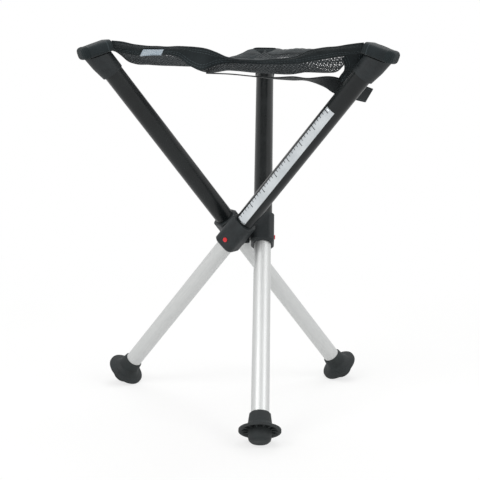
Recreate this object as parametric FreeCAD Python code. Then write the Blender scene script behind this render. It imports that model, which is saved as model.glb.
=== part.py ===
# Folding stool: three telescopic legs cross at a small hub and carry a triangular fabric seat.
# Millimetres and degrees, +Z up, origin on the floor under the hub's axis.
# The stool is drawn open, with every leg pulled out to its full length.
import FreeCAD, Part
import math
import os

from FreeCAD import Placement, Rotation, Vector

# Stance: each leg turns on a level radial arm of the hub and leans sideways to that arm.
pivot_height = 215.0
pivot_arm = 23.5
leg_lean = 40.1
leg_names = "cba"
arm_azimuths = {leg: place * 360 / len(leg_names) for place, leg in enumerate(leg_names)}

# Fits between pieces
seat_gap = 0.05         # between pieces pressed or glued together
turn_gap = 0.05         # around a pin or button that turns or slides in its hole
free_gap = 0.3          # between faces that pass each other
cut_over = 2.0          # overrun of a cut past the face it opens
tiny = 1e-4             # keeps a division or a comparison off exact zero

# Telescopic tubes
lower_tube_radius = 10.5
lower_tube_wall = 0.9
upper_tube_wall = 0.9
slide_gap = 0.35        # lower tube to the inside of the upper tube
lower_tube_overlap = 38.0   # top of the lower tube above the pivot
bush_spigot = 12.0
bush_head = 4.0
bush_wall = 2.2

# Sleeve at the hub
sleeve_above = 23.0
sleeve_below = 17.0
sleeve_half = 14.3
sleeve_corner = 8.0
sleeve_bottom_edge = 2.2
sleeve_top_edge = 0.8
socket_depth = 17.0
boss_reach = 15.6       # leg axis to the face that turns on the hub
boss_radius = 10.0

# Hub and pivot screws
hub_half_height = 12.0
hub_corner_radius = 10.2
hub_edge = 1.0
trunnion_radius = 6.0
trunnion_length = 1.5
screw_radius = 2.5
screw_head_radius = 4.3
screw_head_sink = 0.4   # head face below the sleeve's bore
screw_end = 3.0         # screw tip to the hub's axis
hex_across = 3.0
hex_depth = 1.2

# Lock button and its catch
button_drop = 6.0       # below the pivot, along the leg
button_radius = 2.9
button_rim = 0.8
button_rim_thick = 0.7
button_proud = 1.4
button_bevel = 0.7
button_travel = 1.5
catch_width = 8.0
catch_thick = 0.6
catch_length = 42.0
catch_bend = 2.5
catch_side = 0.1        # leaf to the tube's wall
catch_land = 10.0       # straight end of each leaf
catch_pin_radius = 2.6
catch_pin_sink = 0.2    # pin's tip below the tube's outside
catch_top = 4.0         # leaf's end above the pin

# Top cap: a collar on the tube, a neck and a flat tongue that slopes down outwards
tongue_height = 436.0   # floor to the tongue's middle where it crosses the leg's axis
tongue_slope = 19.5     # degrees below level when the stool is open
tongue_thick = 8.5
tongue_out = 17.5
tongue_in = 11.0
tongue_root_half = 15.0
tongue_tip_half = 11.5
tongue_tip_corner = 7.5
tongue_edge = 2.4       # bevel
neck_rise = 3.4         # between the collar's slanted top and the tongue
neck_half = 8.0
neck_front = 12.0
neck_back = 10.0
neck_corner = 3.0
cap_skirt = 33.0        # collar's lower end below the tongue's middle
cap_radius = 13.0
cap_bulge_low = 0.9     # how far the collar swells on its outer side
cap_bulge_mid = 3.4
cap_bulge_high = 4.9
tube_end_drop = 19.0    # upper tube's end below the tongue's middle
cap_edge = 0.8

# Seat corner pockets
cloth_thick = 1.3
pocket_in = 15.0        # tongue's crossing to the pocket's mouth
pocket_hem = 6.0
pocket_hem_thick = 0.7

# Rubber feet, axisymmetric on the leg
stud_radius = 13.3
stud_edge = 6.0
stud_edge_degrees = (0, 30, 60, 90)     # where the rounded edge is drawn as straight runs
contact_flat = 0.5      # how much the floor flattens the stud
foot_floor = 9.0        # rubber under the tube's end
flange_radius = 24.2
flange_edge = 1.2
flange_lift = 0.6       # flange's lowest point above the floor
flange_rise = 8.0       # flange's rim to the collar's foot
belly_share = 2 / 3     # how far in from the rim to the collar the flange's back bends upwards
recess_radius = 21.6
recess_depth = 4.0      # beside the stud
collar_foot_radius = 13.8
collar_top_radius = 12.3
collar_height = 13.0
collar_edge = 1.6
rib_count = 14
rib_thick = 1.3
rib_sink = 0.3          # ribs end this far above the flange's underside
rib_root = 0.6          # how far the ribs run into the rubber round them

# Seat bands, one along each edge from a corner to the next, and the mesh between their inner edges.
# At each listed share of its length a band's rim sags below the straight line between the corners, and
# its inner edge drops below that and is tucked out under the rim.
band_thick = 1.2
mesh_thick = 0.9
edge_bow = 9.0          # rim drawn in at mid side
mesh_corner_in = 13.0   # mesh corner, in from the pocket's mouth
mouth_gap = 1.2         # pocket's mouth to the bands
seam_in = 3.5           # start of the seam between two bands, in from the mouth
seam_gap = 1.6          # between two bands where they meet at a corner
band_stations = 17
mesh_belly = 10.0       # sag of the mesh below its edges
mesh_lean_share = 0.6   # how much deeper the mesh lies towards the right than at its middle
mesh_low_share = 0.34   # the lowest place's share of the way from the front edge to the rear corner
mesh_steepness = 4      # a large power makes the mesh fall steeply from its edges to a flat bottom
mesh_tip_share = 0.975  # where the mesh ends before the rear corner
hang_kept_share = 0.3   # how much of what the bands hang down by the mesh keeps at its middle
hang_fade = 4           # power by which the rest of it fades away from the bands
bands = {
    "front": {"ends": ("b", "a"),
              "shares": (0, 0.05, 0.12, 0.2, 0.28, 0.33, 0.38, 0.43, 0.48, 0.55, 0.66, 0.73, 0.8, 0.88, 0.95, 1),
              "sag": (0.5, 1.3, 4, 5, 4.4, 5.4, 7.3, 11.8, 17.2, 18.6, 17.4, 14.5, 6.7, 3.3, 1.2, 0),
              "drop": (8.5, 13, 14, 12, 14.5, 24, 27, 16, 8, 7.4, 8.5, 10.5, 14.4, 13.6, 13, 8.5),
              "tuck": (0, 0, 0, 0, 0, 4, 9, 2, 0, 0, 0, 0, 0, 0, 0, 0)},
    "left": {"ends": ("c", "b"),
             "shares": (0, 0.05, 0.15, 0.3, 0.5, 0.7, 0.85, 0.95, 1),
             "sag": (1, 3, 10, 16, 16, 12, 7, 2, 0.5),
             "drop": (8.5, 10, 11, 12, 12, 16, 20, 13, 8.5),
             "tuck": (0, 0, 0, 0, 0, 2, 5, 0, 0)},
    "right": {"ends": ("a", "c"),
              "shares": (0, 0.05, 0.12, 0.2, 0.35, 0.5, 0.7, 0.88, 0.95, 1),
              "sag": (0, 1.2, 3, 4, 4, 2.5, 0.5, 1.2, 0.5, 0),
              "drop": (8.5, 13, 24, 24, 16, 12, 11, 11, 10, 8.5),
              "tuck": (0, 0, 8, 8, 2, 0, 0, 0, 0, 0)},
}

# Small tag sewn on the front band, as shares along and across it
tag_start_share = 0.12
tag_end_share = 0.21
tag_top_share = 0.25
tag_bottom_share = 0.68
tag_thick = 0.5
tag_stations = 4

# Webbing strap under the seat: the places of its middle line in the stool, and how far its width
# is turned from level there, in degrees
strap_thick = 1.4
strap_width = 18.0
strap_steps = 3         # sections between two places
strap_path = [
    (Vector(-44, -80, 408.8), 0),
    (Vector(-18, -77, 408.8), 0),
    (Vector(6, -75, 407), 0),
    (Vector(33, -74, 406), 4),
    (Vector(54, -74, 406.5), 12),
    (Vector(72, -74, 405.5), 8),
    (Vector(94, -75, 403), 45),
    (Vector(108, -74, 398), 80),
    (Vector(126, -70, 393), 80),
    (Vector(144, -60, 388), 60),
]

upper_bore = lower_tube_radius + slide_gap
upper_tube_radius = upper_bore + upper_tube_wall
lower_bore = lower_tube_radius - lower_tube_wall
lean_cos = math.cos(math.radians(leg_lean))
lean_sin = math.sin(math.radians(leg_lean))
leg_below = pivot_height / lean_cos                      # pivot to the floor along the leg
tongue_along = (tongue_height - pivot_height) / lean_cos     # pivot to the tongue along the leg
tongue_rise = leg_lean - tongue_slope                    # tongue to the leg's normal plane
cap_bottom = tongue_along - cap_skirt
upper_tube_end = tongue_along - tube_end_drop
upper_tube_start = sleeve_above - socket_depth
hub_face = pivot_arm - boss_reach - free_gap
recess_floor = boss_reach - trunnion_length - free_gap
X_AXIS = Vector(1, 0, 0)
Y_AXIS = Vector(0, 1, 0)
Z_AXIS = Vector(0, 0, 1)


def tube(outer, inner, start, end):
    """A round tube about +Z."""
    whole = Part.makeCylinder(outer, end - start, Vector(0, 0, start))
    return whole.cut(Part.makeCylinder(inner, end - start + 2 * cut_over, Vector(0, 0, start - cut_over)))


def rod(radius, start, end, height=0.0):
    """A round bar along +X, between two distances from the leg's axis."""
    return Part.makeCylinder(radius, end - start, Vector(start, 0, height), X_AXIS)


def outline(points):
    """A closed wire of straight lines."""
    return Part.makePolygon(list(points) + [points[0]])


def turned(profile, axis):
    """The solid that a closed outline sweeps in a full turn about an axis through the origin."""
    return outward(Part.Face(outline(profile)).revolve(Vector(0, 0, 0), axis, 360))


def outward(solid):
    """The same solid with its faces turned outwards."""
    return solid.reversed() if solid.Volume < 0 else solid


def quarter(centre, radius, start_degrees, end_degrees, plane):
    """An arc about centre in the plane given by its two unit directions."""
    first, second = plane

    def at(degrees):
        angle = math.radians(degrees)
        return centre + first * (radius * math.cos(angle)) + second * (radius * math.sin(angle))

    middle = (start_degrees + end_degrees) / 2
    return Part.Arc(at(start_degrees), at(middle), at(end_degrees)).toShape()


def line(start, end):
    return Part.LineSegment(start, end).toShape()


def rounded_block(half_x, half_y, start, end, corner):
    """An upright block with rounded corners, centred on the axis."""
    block = Part.makeBox(2 * half_x, 2 * half_y, end - start, Vector(-half_x, -half_y, start))
    return block.makeFillet(corner, edges_along(block, Z_AXIS))


def edges_along(shape, direction):
    """The straight edges of a shape that run along a direction."""
    found = []
    for edge in shape.Edges:
        if edge.Curve.TypeId == "Part::GeomLine" and abs(edge.Curve.Direction.dot(direction)) > 1 - tiny:
            found.append(edge)
    return found


def edges_at_height(shape, height):
    """The edges that lie in the level plane at a height."""
    low = height - seat_gap
    high = height + seat_gap
    return [e for e in shape.Edges if e.BoundBox.ZMin > low and e.BoundBox.ZMax < high]


# The leg's pieces are drawn with the leg upright, its pivot at the origin and the hub towards -X.

def leg_placement(leg):
    """Stands a leg in the open stool."""
    azimuth = Rotation(Z_AXIS, arm_azimuths[leg])
    arm = azimuth.multVec(Vector(pivot_arm, 0, pivot_height))
    return Placement(arm, azimuth.multiply(Rotation(X_AXIS, -leg_lean)))


def tongue_placement():
    """The tongue's own frame on the leg: +Y out along the tongue, +Z through its thickness."""
    return Placement(Vector(0, 0, tongue_along), Rotation(X_AXIS, tongue_rise))


def on_tongue(leg, across, along, above):
    """The place in the open stool of a point given in a tongue's frame."""
    local = tongue_placement().multVec(Vector(across, along, above))
    return leg_placement(leg).multVec(local)


def make_upper_tube():
    return tube(upper_tube_radius, upper_bore, upper_tube_start, upper_tube_end)


def make_lower_tube():
    end = lower_tube_overlap
    start = foot_end() + foot_floor - leg_below
    body = tube(lower_tube_radius, lower_bore, start, end)
    return body.cut(rod(catch_pin_radius + free_gap, 0, lower_tube_radius + cut_over, -button_drop))


def make_guide_bush():
    """A ring with a spigot in the lower tube's end and a head that runs in the upper tube."""
    spigot = lower_bore - seat_gap
    head = upper_bore - turn_gap - turn_gap
    inner = spigot - bush_wall
    start = lower_tube_overlap - bush_spigot
    top = lower_tube_overlap + bush_head
    ring = turned([Vector(inner, 0, start), Vector(spigot, 0, start),
                   Vector(spigot, 0, lower_tube_overlap), Vector(head, 0, lower_tube_overlap),
                   Vector(head, 0, top), Vector(inner, 0, top)], Z_AXIS)
    return ring


def make_leg_sleeve():
    """The moulded sleeve: a squared body with a boss that turns on the hub."""
    body = rounded_block(sleeve_half, sleeve_half, -sleeve_below, sleeve_above, sleeve_corner)
    body = body.makeChamfer(sleeve_bottom_edge, edges_at_height(body, -sleeve_below))
    body = body.makeChamfer(sleeve_top_edge, edges_at_height(body, sleeve_above))
    body = body.fuse(rod(boss_radius, -boss_reach, 0))
    body = body.cut(Part.makeCylinder(upper_bore, sleeve_below + sleeve_above + 2 * cut_over,
                                      Vector(0, 0, -sleeve_below - cut_over)))
    body = body.cut(Part.makeCylinder(upper_tube_radius + seat_gap, socket_depth + cut_over,
                                      Vector(0, 0, upper_tube_start)))
    body = body.cut(rod(trunnion_radius + turn_gap, -boss_reach - cut_over, -recess_floor))
    body = body.cut(screw_hole())
    # the button's hole, and a wider seat for its rim from the inside
    body = body.cut(rod(button_radius + turn_gap, 0, sleeve_half + cut_over, -button_drop))
    seat = button_start() + button_rim_thick + seat_gap
    return body.cut(rod(button_radius + button_rim + free_gap, 0, seat, -button_drop)).removeSplitter()


def screw_head_face():
    return -upper_bore - screw_head_sink


def screw_hole():
    """Room in the sleeve for a countersunk pivot screw, and for its head to pass from the bore."""
    face = screw_head_face()
    head = screw_head_radius + free_gap
    shank = screw_radius + turn_gap
    cone = head - shank
    return turned([Vector(0, 0, 0), Vector(0, 0, head), Vector(face, 0, head),
                   Vector(face - cone, 0, shank), Vector(-boss_reach, 0, shank),
                   Vector(-boss_reach, 0, 0)], X_AXIS)


def make_pivot_screw():
    """A countersunk screw from inside the sleeve into the hub, with a hexagon socket."""
    face = screw_head_face()
    cone = screw_head_radius - screw_radius
    tip = screw_end - pivot_arm
    screw = turned([Vector(face, 0, 0), Vector(face, 0, screw_head_radius),
                    Vector(face - cone, 0, screw_radius), Vector(tip, 0, screw_radius),
                    Vector(tip, 0, 0)], X_AXIS)
    reach = hex_across / math.sqrt(3)
    corners = []
    for step in range(6):
        angle = math.radians(60 * step)
        corners.append(Vector(face - hex_depth, reach * math.cos(angle), reach * math.sin(angle)))
    socket = Part.Face(outline(corners)).extrude(X_AXIS * (hex_depth + cut_over))
    return screw.cut(socket)


def button_start():
    """Inner end of the lock button at rest: pressed in, it still clears the lower tube's bore."""
    return upper_bore + button_travel + free_gap


def make_lock_button():
    """A bevelled button with a rim that keeps it in the sleeve."""
    start = button_start()
    rim = start + button_rim_thick
    face = sleeve_half + button_proud
    shoulder = face - button_bevel
    flat = button_radius - button_bevel
    wide = button_radius + button_rim
    profile = [Vector(start, 0, 0), Vector(start, 0, wide), Vector(rim, 0, wide),
               Vector(rim, 0, button_radius), Vector(shoulder, 0, button_radius),
               Vector(face, 0, flat), Vector(face, 0, 0)]
    button = turned(profile, X_AXIS)
    button.translate(Vector(0, 0, -button_drop))
    return button


def make_catch_spring():
    """A leaf spring folded to a V in the lower tube, with the pin that holds the leg out."""
    half = catch_width / 2
    side = math.sqrt(lower_bore ** 2 - half ** 2) - catch_side
    top = catch_top - button_drop
    land = top - catch_land
    low = top - catch_length
    inside = side - catch_thick
    inner_bend = catch_bend - catch_thick
    plane = (X_AXIS, Z_AXIS)
    centre = Vector(0, 0, low)
    points = [Vector(-catch_bend, 0, low), Vector(-side, 0, land), Vector(-side, 0, top),
              Vector(-inside, 0, top), Vector(-inside, 0, land), Vector(-inner_bend, 0, low)]
    left = [line(points[i], points[i + 1]) for i in range(len(points) - 1)]
    mirrored = [Vector(-p.x, 0, p.z) for p in reversed(points)]
    right = [line(mirrored[i], mirrored[i + 1]) for i in range(len(mirrored) - 1)]
    wire = Part.Wire(left + [quarter(centre, inner_bend, 180, 360, plane)] + right
                     + [quarter(centre, catch_bend, 360, 180, plane)])
    leaf = Part.Face(wire).extrude(Y_AXIS * catch_width)
    leaf.translate(Y_AXIS * -half)
    tip = lower_tube_radius - catch_pin_sink
    return leaf.fuse(rod(catch_pin_radius, inside, tip, -button_drop)).removeSplitter()


def foot_end():
    """Distance along the leg from the floor's plane up to the stud's end face."""
    edge_reach = (stud_radius - stud_edge) * lean_sin
    return (stud_edge + edge_reach - contact_flat) / lean_cos - stud_edge


def flange_along():
    """The same for the middle of the flange's rim, so that the rim just clears the floor."""
    edge_reach = (flange_radius - flange_edge) * lean_sin
    return (flange_lift + flange_edge + edge_reach) / lean_cos


def make_foot():
    """Rubber foot: stud, wide flange hollowed and ribbed below, and a collar round the tube."""
    end = foot_end()
    rim = flange_along()
    under = rim - flange_edge
    over = rim + flange_edge
    ceiling = under + recess_depth
    root = rim + flange_rise
    top = root + collar_height
    bore = lower_tube_radius + seat_gap
    floor = end + foot_floor
    belly_radius = mix(flange_radius, collar_foot_radius, belly_share)
    belly = mix(over, root, 1 - belly_share)
    profile = [Vector(0, 0, end)]
    for degrees in stud_edge_degrees:
        angle = math.radians(degrees)
        profile.append(Vector(stud_radius - stud_edge * (1 - math.sin(angle)), 0,
                              end + stud_edge * (1 - math.cos(angle))))
    profile += [Vector(stud_radius, 0, ceiling), Vector(recess_radius, 0, under),
                Vector(flange_radius, 0, under), Vector(flange_radius, 0, over),
                Vector(belly_radius, 0, belly), Vector(collar_foot_radius, 0, root),
                Vector(collar_top_radius, 0, top - collar_edge), Vector(collar_top_radius - collar_edge, 0, top),
                Vector(bore, 0, top), Vector(bore, 0, floor), Vector(0, 0, floor)]
    foot = turned(profile, Z_AXIS)
    low = under + rib_sink
    rib = Part.Face(outline([Vector(stud_radius - rib_root, 0, low), Vector(recess_radius, 0, low),
                             Vector(stud_radius - rib_root, 0, ceiling + rib_root)])).extrude(Y_AXIS * rib_thick)
    rib.translate(Y_AXIS * (-rib_thick / 2))
    ribs = []
    for step in range(rib_count):
        copy = rib.copy()
        copy.rotate(Vector(0, 0, 0), Z_AXIS, 360 * step / rib_count)
        ribs.append(copy)
    foot = foot.fuse(ribs).removeSplitter()
    foot.translate(Vector(0, 0, -leg_below))
    # the floor flattens the stud where it bears
    floor_plane = Placement(Vector(0, 0, -leg_below), Rotation(X_AXIS, leg_lean))
    reach = 2 * flange_radius
    below = Part.makeBox(2 * reach, 2 * reach, reach, Vector(-reach, -reach, -reach))
    return foot.cut(placed(below, floor_plane))


def placed(shape, placement):
    """A copy of a shape, moved."""
    copy = shape.copy()
    copy.Placement = placement.multiply(copy.Placement)
    return copy


def tongue_half(along):
    """Half the tongue's width at a distance out along it; its sides taper evenly."""
    return mix(tongue_root_half, tongue_tip_half, (along + tongue_in) / (tongue_out + tongue_in))


def tongue_form(grow, inner):
    """The tongue's rounded plate, grown on every side, from its tip back to a distance inside."""
    tip = tongue_out + grow
    root = tongue_half(-inner) + grow
    end = tongue_tip_half + grow
    half = tongue_thick / 2 + grow
    points = [Vector(-root, -inner, -half), Vector(root, -inner, -half),
              Vector(end, tip, -half), Vector(-end, tip, -half)]
    plate = Part.Face(outline(points)).extrude(Z_AXIS * (2 * half))
    corners = edges_along(plate, Z_AXIS)
    outer = [e for e in corners if e.BoundBox.YMin > 0]
    plate = plate.makeFillet(tongue_tip_corner + grow, outer)
    rims = edges_at_height(plate, -half) + edges_at_height(plate, half)
    sides = [e for e in rims if e.BoundBox.YMax > -inner + seat_gap]
    return plate.makeChamfer(tongue_edge + grow / 2, sides)


def neck_form(grow):
    """The neck between the collar and the tongue, in the tongue's frame."""
    length = neck_front + neck_back + 2 * grow
    width = 2 * (neck_half + grow)
    drop = tongue_thick / 2 + neck_rise + cap_edge
    block = Part.makeBox(width, length, drop, Vector(-neck_half - grow, -neck_back - grow, -drop))
    return block.makeFillet(neck_corner, edges_along(block, Z_AXIS))


def cap_section(height, bulge):
    """A round section whose outer half is pushed out by a bulge."""
    low = Vector(0, 0, height)
    high = Vector(0, bulge, height)
    plane = (X_AXIS, Y_AXIS)
    return Part.Wire([
        quarter(low, cap_radius, 180, 360, plane),
        line(Vector(cap_radius, 0, height), Vector(cap_radius, bulge, height)),
        quarter(high, cap_radius, 0, 180, plane),
        line(Vector(-cap_radius, bulge, height), Vector(-cap_radius, 0, height)),
    ])


def cap_stage(low, high, bulge_low, bulge_high):
    """A stage of the collar whose outer half slants out from one bulge to the next."""
    slant = Vector(0, bulge_high - bulge_low, high - low)
    return outward(Part.Face(cap_section(low, bulge_low)).extrude(slant))


def make_top_cap():
    """The leg's moulded head: collar with a swelling gusset, neck and tongue."""
    middle = (cap_bottom + tongue_along) / 2
    high = tongue_along + cap_radius
    core = Part.makeCylinder(cap_radius, high - cap_bottom, Vector(0, 0, cap_bottom))
    collar = core.fuse([cap_stage(cap_bottom, middle, cap_bulge_low, cap_bulge_mid),
                        cap_stage(middle, high, cap_bulge_mid, cap_bulge_high)])
    # the collar ends in a slanted top, level with the tongue
    reach = 3 * cap_radius
    drop = tongue_thick / 2 + neck_rise
    above = Part.makeBox(2 * reach, 2 * reach, 2 * reach, Vector(-reach, -reach, -drop))
    collar = collar.cut(placed(above, tongue_placement()))
    head = tongue_form(0, tongue_in).fuse(neck_form(0))
    cap = collar.fuse(placed(head, tongue_placement()))
    bore = Part.makeCylinder(upper_tube_radius + seat_gap, upper_tube_end - cap_bottom + cut_over,
                             Vector(0, 0, cap_bottom - cut_over))
    return cap.cut(bore).removeSplitter()


def make_corner_pocket():
    """The seat's corner: a cloth pocket drawn over the tongue, with a doubled hem at its tip."""
    outer = tongue_form(seat_gap + cloth_thick, pocket_in)
    inner = tongue_form(seat_gap, pocket_in + cut_over)
    hem = tongue_form(seat_gap + cloth_thick + pocket_hem_thick, pocket_in)
    reach = 2 * pocket_in
    behind = Part.makeBox(2 * reach, 2 * reach, 2 * reach,
                          Vector(-reach, tongue_out - pocket_hem - 2 * reach, -reach))
    pocket = outer.fuse(hem.cut(behind)).cut(inner).cut(neck_form(cloth_thick))
    return placed(pocket.removeSplitter(), tongue_placement())


def make_hub_block():
    """Three-sided moulded centre with a trunnion on each face."""
    turn = math.radians(60)
    corners = []
    for azimuth in arm_azimuths.values():
        angle = math.radians(azimuth) + turn
        reach = hub_face / math.cos(turn)
        corners.append(Vector(reach * math.cos(angle), reach * math.sin(angle), pivot_height - hub_half_height))
    prism = Part.Face(outline(corners)).extrude(Z_AXIS * (2 * hub_half_height))
    core = Part.makeCylinder(hub_corner_radius, 2 * hub_half_height,
                             Vector(0, 0, pivot_height - hub_half_height))
    block = prism.common(core)
    ends = (edges_at_height(block, pivot_height - hub_half_height)
            + edges_at_height(block, pivot_height + hub_half_height))
    block = block.makeChamfer(hub_edge, ends)
    for azimuth in arm_azimuths.values():
        direction = Rotation(Z_AXIS, azimuth).multVec(X_AXIS)
        centre = Vector(0, 0, pivot_height)
        block = block.fuse(Part.makeCylinder(trunnion_radius, hub_face + trunnion_length, centre, direction))
    for azimuth in arm_azimuths.values():
        direction = Rotation(Z_AXIS, azimuth).multVec(X_AXIS)
        start = Vector(0, 0, pivot_height) + direction * screw_end
        block = block.cut(Part.makeCylinder(screw_radius, hub_face + trunnion_length, start, direction))
    return block.removeSplitter()


def make_pivot_screws():
    return Part.makeCompound([placed(make_pivot_screw(), upright(leg)) for leg in arm_azimuths])


def upright(leg):
    """Places what is drawn in a leg's frame on the hub, unturned by the leg's lean."""
    azimuth = Rotation(Z_AXIS, arm_azimuths[leg])
    return Placement(azimuth.multVec(Vector(pivot_arm, 0, pivot_height)), azimuth)


# The seat's cloth: every edge is a function of a share along its band, from 0 to 1.

def mix(first, second, share):
    return first * (1 - share) + second * share


def smooth(value, start, end):
    """Rises smoothly from 0 at start to 1 at end."""
    share = min(max((value - start) / (end - start), 0), 1)
    return share * share * (3 - 2 * share)


def band_size(band, size, share):
    """A band's sag, drop or tuck at a share along it, by a smooth curve through the listed values."""
    shares, values = band["shares"], band[size]
    last = len(shares) - 1
    first = max(i for i in range(last) if shares[i] <= share)

    def slope(i):
        before, after = max(i - 1, 0), min(i + 1, last)
        return (values[after] - values[before]) / (shares[after] - shares[before])

    width = shares[first + 1] - shares[first]
    t = (share - shares[first]) / width
    swing = width * t * (1 - t) * (slope(first) * (1 - t) - slope(first + 1) * t)
    return mix(values[first], values[first + 1], smooth(t, 0, 1)) + swing


def side_direction(band, inwards):
    """Level direction along a band, or from its middle towards the hub's axis."""
    first, second = band["ends"]
    start = on_tongue(first, 0, 0, 0)
    end = on_tongue(second, 0, 0, 0)
    along = (end - start).normalize()
    return Z_AXIS.cross(along) if inwards else along


def mouth_point(leg, across, further_in=0.0):
    """A point on the top of a pocket's mouth, or further in along its tongue."""
    return on_tongue(leg, across, -pocket_in - mouth_gap - further_in, tongue_thick / 2)


def rim_point(band, share):
    """The band's outer edge."""
    first, second = band["ends"]
    half = tongue_half(-pocket_in) + seat_gap + cloth_thick
    chord = mix(mouth_point(first, -half), mouth_point(second, half), share)
    bow = edge_bow * math.sin(math.pi * share)
    return chord + side_direction(band, True) * bow - Z_AXIS * band_size(band, "sag", share)


def corner_share(band):
    """The share of a band that its seam with the next band takes at each end."""
    first, second = band["ends"]
    return mesh_corner_in / mouth_point(first, 0).distanceToPoint(mouth_point(second, 0))


def inner_point(band, share):
    """The band's inner edge: along the corner seams first, and between them where the mesh is sewn on."""
    return level_point(band, share) + hang(band, share)


def hang(band, share):
    """How far the band carries its inner edge down and out."""
    return (side_direction(band, True) * -band_size(band, "tuck", share)
            - Z_AXIS * band_size(band, "drop", share))


def level_point(band, share):
    """The same edge if the band lay level."""
    first, second = band["ends"]
    seam = corner_share(band)
    start = mouth_point(first, -seam_gap / 2, mesh_corner_in)
    end = mouth_point(second, seam_gap / 2, mesh_corner_in)
    if share < seam:
        point = mix(mouth_point(first, -seam_gap / 2, seam_in), start, share / seam)
    elif share > 1 - seam:
        point = mix(mouth_point(second, seam_gap / 2, seam_in), end, (1 - share) / seam)
    else:
        point = mix(start, end, (share - seam) / (1 - 2 * seam))
    return point - Z_AXIS * band_size(band, "sag", share)


def band_shares(band):
    """Where a band's sections stand: at its ends, at the ends of its seams and evenly between."""
    return [0] + [mesh_share(band, share) for share in even_shares()] + [1]


def even_shares():
    return [step / (band_stations - 1) for step in range(band_stations)]


def band_normal(band, share):
    """Out of the band's under or outer side."""
    across = inner_point(band, share) - rim_point(band, share)
    return across.cross(side_direction(band, False)).normalize()


def strip_section(first, second, normal, thick):
    """A thin closed section from one point to another, with its thickness along a normal."""
    return outline([first, second, second + normal * thick, first + normal * thick])


def make_band(band):
    """One cloth band, lofted through thin sections."""
    sections = []
    for share in band_shares(band):
        sections.append(strip_section(rim_point(band, share), inner_point(band, share),
                                      band_normal(band, share), band_thick))
    return outward(Part.makeLoft(sections, True, True))


def mesh_share(band, share):
    """The share of a band at a share of the mesh's edge, which leaves the seams out."""
    seam = corner_share(band)
    return mix(seam, 1 - seam, share)


def mesh_edge(band, share):
    """The mesh's own edge if the band lay level, just inside the band."""
    return level_point(band, mesh_share(band, share)) + side_direction(band, True) * free_gap


def mesh_point(across, up):
    """A point of the mesh, a patch between its three edges with a belly below them."""
    front = bands["front"]
    left = bands["left"]
    right = bands["right"]
    apex = mix(mesh_edge(left, 0), mesh_edge(right, 1), across)
    between = mix(mesh_edge(front, across), apex, up) + mix(mesh_edge(left, 1 - up), mesh_edge(right, up), across)
    flat = mix(mix(mesh_edge(front, 0), mesh_edge(front, 1), across), apex, up)
    return between - flat + mesh_hang(across, up) - Z_AXIS * (mesh_belly * bowl(across, up))


def mesh_hang(across, up):
    """What the bands' hanging does to the mesh: all of it at their own edges, and a mean of it between."""
    edges = ((bands["front"], across, 1 - up), (bands["left"], 1 - up, 1 - across), (bands["right"], up, across))
    total = Vector(0, 0, 0)
    weights = 0
    for band, share, near in edges:
        weight = (near / (1 + tiny - near)) ** 2
        total += hang(band, mesh_share(band, share)) * weight
        weights += weight
    nearest = max(near for band, share, near in edges)
    return total * (mix(hang_kept_share, 1, nearest ** hang_fade) / weights)


def bowl(across, up):
    """The mesh's depth as a share: 0 along its edges, and about 1 over a flat bottom."""
    middle = 1 - (1 - 4 * across * (1 - across)) ** mesh_steepness
    if up < mesh_low_share:
        rise = 1 - (1 - up / mesh_low_share) ** mesh_steepness
    else:
        rise = 1 - ((up - mesh_low_share) / (1 - mesh_low_share)) ** 2
    return middle * rise * (1 + mesh_lean_share * (2 * across - 1))


def make_seat_mesh():
    """The sagging mesh panel: flat triangles over a grid, the same below them, and a wall round both."""
    grid = []
    for up in even_shares()[:-1] + [mesh_tip_share]:
        grid.append([mesh_point(across, up) for across in even_shares()])
    faces = []
    for near, far in zip(grid, grid[1:]):
        for column in range(band_stations - 1):
            for corners in ([near[column], near[column + 1], far[column + 1]],
                            [near[column], far[column + 1], far[column]]):
                faces.append(Part.Face(outline(corners)))
                faces.append(Part.Face(outline([point - Z_AXIS * mesh_thick for point in reversed(corners)])))
    rim = grid[0] + [row[-1] for row in grid[1:-1]] + grid[-1][::-1] + [row[0] for row in grid[-2:0:-1]]
    for point, after in zip(rim, rim[1:] + rim[:1]):
        faces.append(Part.Face(outline([point - Z_AXIS * mesh_thick, after - Z_AXIS * mesh_thick, after, point])))
    shell = Part.makeShell(faces)
    shell.sewShape()
    return outward(Part.makeSolid(shell))


def make_seat_tag():
    """A bare tag on the outside of the front band."""
    band = bands["front"]
    sections = []
    for step in range(tag_stations):
        share = mix(tag_start_share, tag_end_share, step / (tag_stations - 1))
        normal = band_normal(band, share)
        lift = normal * (band_thick + free_gap)
        rim = rim_point(band, share) + lift
        inner = inner_point(band, share) + lift
        sections.append(strip_section(mix(rim, inner, tag_top_share), mix(rim, inner, tag_bottom_share),
                                      normal, tag_thick))
    return outward(Part.makeLoft(sections, True, True))


def make_under_strap():
    """The webbing strap, lofted along a smooth line through its places."""
    middle = Part.BSplineCurve()
    middle.interpolate([place for place, turn in strap_path])
    knots = [middle.parameter(place) for place, turn in strap_path]
    sections = []
    for index in range(len(strap_path) - 1):
        for step in range(strap_steps + (index == len(strap_path) - 2)):
            share = step / strap_steps
            where = mix(knots[index], knots[index + 1], share)
            turn = mix(strap_path[index][1], strap_path[index + 1][1], smooth(share, 0, 1))
            sections.append(strap_section(middle.value(where), middle.tangent(where)[0], turn))
    return outward(Part.makeLoft(sections, True, True))


def strap_section(place, along, turn):
    """A strap's section, with its width turned about the strap from level by some degrees."""
    level = Z_AXIS.cross(along).normalize()
    across = Rotation(along, -turn).multVec(level) * (strap_width / 2)
    normal = along.cross(across).normalize()
    low = place - normal * (strap_thick / 2)
    return strip_section(low - across, low + across, normal, strap_thick)


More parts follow.
